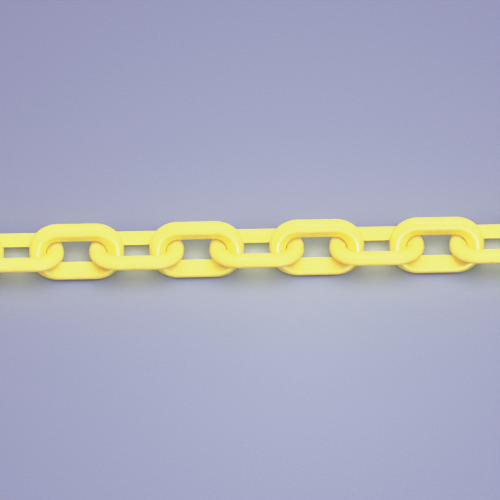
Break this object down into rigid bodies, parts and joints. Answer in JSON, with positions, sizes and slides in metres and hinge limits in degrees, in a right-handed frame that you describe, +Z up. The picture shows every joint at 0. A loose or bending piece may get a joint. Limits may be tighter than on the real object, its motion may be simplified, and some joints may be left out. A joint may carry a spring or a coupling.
{
  "type": "plastic barrier chain",
  "caption": "Length of yellow moulded plastic barrier chain: closed rounded links, each hung in the next at a right angle, lying straight.",
  "frame": {"origin": "on the surface the chain lies on, under the middle of the middle link", "axes": "+X along the straight chain, +Z up, +Y across it; links lean 45 degrees to +Y and -Y by turns"},
  "size_m": [0.6948, 0.026, 0.026],
  "materials": {
    "yellow_plastic": "satin, slightly translucent moulded polyethylene"
  },
  "bodies": {
    "link_01": {"link_01": "yellow_plastic"},
    "link_02": {"link_02": "yellow_plastic"},
    "link_03": {"link_03": "yellow_plastic"},
    "link_04": {"link_04": "yellow_plastic"},
    "link_05": {"link_05": "yellow_plastic"},
    "link_06": {"link_06": "yellow_plastic"},
    "link_07": {"link_07": "yellow_plastic"},
    "link_08": {"link_08": "yellow_plastic"},
    "link_09": {"link_09": "yellow_plastic"},
    "link_10": {"link_10": "yellow_plastic"},
    "link_11": {"link_11": "yellow_plastic"},
    "link_12": {"link_12": "yellow_plastic"},
    "link_13": {"link_13": "yellow_plastic"},
    "link_14": {"link_14": "yellow_plastic"},
    "link_15": {"link_15": "yellow_plastic"},
    "link_16": {"link_16": "yellow_plastic"},
    "link_17": {"link_17": "yellow_plastic"},
    "link_18": {"link_18": "yellow_plastic"},
    "link_19": {"link_19": "yellow_plastic"},
    "link_20": {"link_20": "yellow_plastic"},
    "link_21": {"link_21": "yellow_plastic"}
  },
  "joints": [
    {"name": "swing_01_02", "type": "hinge", "parent": "link_01", "child": "link_02", "pos_m": [-0.30045, 0, 0.01301], "axis": [0, 0.7071, -0.7071], "range_deg": [-110, 110]},
    {"name": "swing_02_03", "type": "hinge", "parent": "link_02", "child": "link_03", "pos_m": [-0.26825, 0, 0.01301], "axis": [0, -0.7071, -0.7071], "range_deg": [-110, 110]},
    {"name": "swing_03_04", "type": "hinge", "parent": "link_03", "child": "link_04", "pos_m": [-0.23605, 0, 0.01301], "axis": [0, -0.7071, 0.7071], "range_deg": [-110, 110]},
    {"name": "swing_04_05", "type": "hinge", "parent": "link_04", "child": "link_05", "pos_m": [-0.20385, 0, 0.01301], "axis": [0, 0.7071, 0.7071], "range_deg": [-110, 110]},
    {"name": "swing_05_06", "type": "hinge", "parent": "link_05", "child": "link_06", "pos_m": [-0.17165, 0, 0.01301], "axis": [0, 0.7071, -0.7071], "range_deg": [-110, 110]},
    {"name": "swing_06_07", "type": "hinge", "parent": "link_06", "child": "link_07", "pos_m": [-0.13945, 0, 0.01301], "axis": [0, -0.7071, -0.7071], "range_deg": [-110, 110]},
    {"name": "swing_07_08", "type": "hinge", "parent": "link_07", "child": "link_08", "pos_m": [-0.10725, 0, 0.01301], "axis": [0, -0.7071, 0.7071], "range_deg": [-110, 110]},
    {"name": "swing_08_09", "type": "hinge", "parent": "link_08", "child": "link_09", "pos_m": [-0.07505, 0, 0.01301], "axis": [0, 0.7071, 0.7071], "range_deg": [-110, 110]},
    {"name": "swing_09_10", "type": "hinge", "parent": "link_09", "child": "link_10", "pos_m": [-0.04285, 0, 0.01301], "axis": [0, 0.7071, -0.7071], "range_deg": [-110, 110]},
    {"name": "swing_10_11", "type": "hinge", "parent": "link_10", "child": "link_11", "pos_m": [-0.01065, 0, 0.01301], "axis": [0, -0.7071, -0.7071], "range_deg": [-110, 110]},
    {"name": "swing_11_12", "type": "hinge", "parent": "link_11", "child": "link_12", "pos_m": [0.02155, 0, 0.01301], "axis": [0, -0.7071, 0.7071], "range_deg": [-110, 110]},
    {"name": "swing_12_13", "type": "hinge", "parent": "link_12", "child": "link_13", "pos_m": [0.05375, 0, 0.01301], "axis": [0, 0.7071, 0.7071], "range_deg": [-110, 110]},
    {"name": "swing_13_14", "type": "hinge", "parent": "link_13", "child": "link_14", "pos_m": [0.08595, 0, 0.01301], "axis": [0, 0.7071, -0.7071], "range_deg": [-110, 110]},
    {"name": "swing_14_15", "type": "hinge", "parent": "link_14", "child": "link_15", "pos_m": [0.11815, 0, 0.01301], "axis": [0, -0.7071, -0.7071], "range_deg": [-110, 110]},
    {"name": "swing_15_16", "type": "hinge", "parent": "link_15", "child": "link_16", "pos_m": [0.15035, 0, 0.01301], "axis": [0, -0.7071, 0.7071], "range_deg": [-110, 110]},
    {"name": "swing_16_17", "type": "hinge", "parent": "link_16", "child": "link_17", "pos_m": [0.18255, 0, 0.01301], "axis": [0, 0.7071, 0.7071], "range_deg": [-110, 110]},
    {"name": "swing_17_18", "type": "hinge", "parent": "link_17", "child": "link_18", "pos_m": [0.21475, 0, 0.01301], "axis": [0, 0.7071, -0.7071], "range_deg": [-110, 110]},
    {"name": "swing_18_19", "type": "hinge", "parent": "link_18", "child": "link_19", "pos_m": [0.24695, 0, 0.01301], "axis": [0, -0.7071, -0.7071], "range_deg": [-110, 110]},
    {"name": "swing_19_20", "type": "hinge", "parent": "link_19", "child": "link_20", "pos_m": [0.27915, 0, 0.01301], "axis": [0, -0.7071, 0.7071], "range_deg": [-110, 110]},
    {"name": "swing_20_21", "type": "hinge", "parent": "link_20", "child": "link_21", "pos_m": [0.31135, 0, 0.01301], "axis": [0, 0.7071, 0.7071], "range_deg": [-110, 110]}
  ]
}
